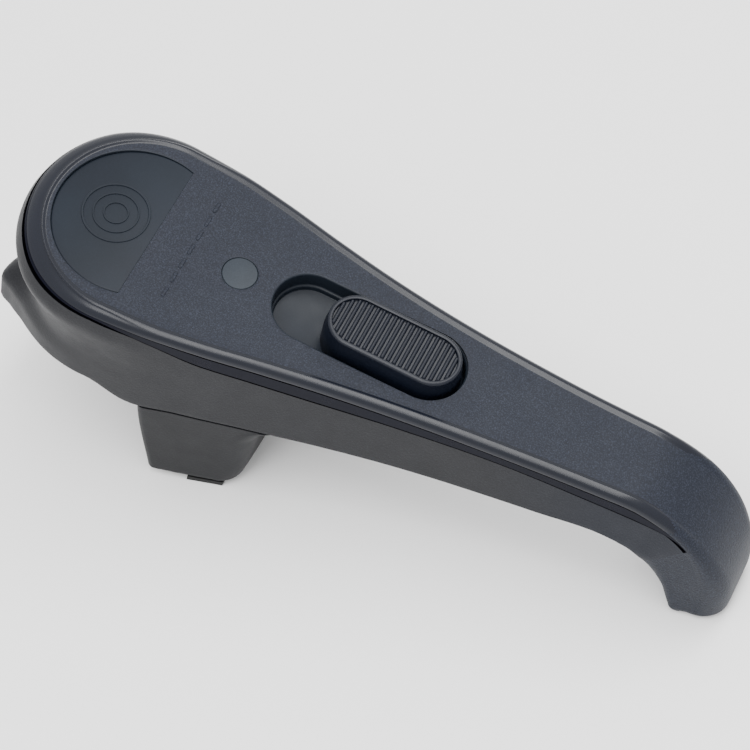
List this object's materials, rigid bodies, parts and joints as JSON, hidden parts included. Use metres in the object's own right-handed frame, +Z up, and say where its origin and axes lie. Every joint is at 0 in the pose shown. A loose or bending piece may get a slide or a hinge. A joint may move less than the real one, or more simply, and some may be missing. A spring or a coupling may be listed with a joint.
{
  "type": "pressure cooker lid handle",
  "caption": "Long moulded lid handle with a round head, ribbed thumb slide that draws a lock bolt, a foot under the head and a hooked grip end.",
  "frame": {"origin": "middle of the box's footprint, on the surface that the handle stands on", "axes": "+Z up from that surface, +X along the handle from the round head to the hook, +Y to its side; the deck leans 14 degrees down towards +X"},
  "size_m": [0.223, 0.0654, 0.0887],
  "materials": {
    "shell_plastic": "dark blue-grey moulded thermoset, fine matt grain on the deck, polished edge",
    "badge_plastic": "smooth satin, dark blue-grey",
    "plug_plastic": "smooth satin, slightly lighter grey",
    "cover_plastic": "satin dark grey moulding",
    "core_plastic": "matt near-black moulding",
    "slide_plastic": "satin blue-black with ribs",
    "pad_rubber": "black rubber",
    "bolt_steel": "brushed spring steel",
    "sheet_steel": "rolled stainless sheet",
    "spring_steel": "drawn spring wire",
    "screw_steel": "plain stainless",
    "insert_brass": "turned brass"
  },
  "bodies": {
    "handle": {"handle_shell": "shell_plastic", "badge_inlay": "badge_plastic", "round_plug": "plug_plastic", "grip_cover": "cover_plastic", "foot_apron": "cover_plastic", "foot_core": "core_plastic", "rest_pad_1": "pad_rubber", "rest_pad_2": "pad_rubber", "guide_plate": "sheet_steel", "return_spring": "spring_steel", "spring_post": "screw_steel", "threaded_insert": "insert_brass", "lid_washer": "pad_rubber", "lid_screw": "screw_steel", "guide_screw_1": "screw_steel", "guide_screw_2": "screw_steel", "guide_screw_3": "screw_steel", "guide_screw_4": "screw_steel", "foot_screw_1": "screw_steel", "foot_screw_2": "screw_steel", "cover_screw_1": "screw_steel", "cover_screw_2": "screw_steel"},
    "slide": {"thumb_slide": "slide_plastic", "slide_carriage": "slide_plastic", "lock_bolt": "bolt_steel", "slide_screw_1": "screw_steel", "slide_screw_2": "screw_steel", "bolt_rivet_1": "screw_steel", "bolt_rivet_2": "screw_steel"}
  },
  "joints": [
    {"name": "thumb_slide_travel", "type": "slide", "parent": "handle", "child": "slide", "axis": [-0.9703, 0, 0.2419], "range_m": [0, 0.0145], "stiffness_N_per_m": 200, "springref_m": -0.01, "deforming": ["return_spring"]}
  ]
}
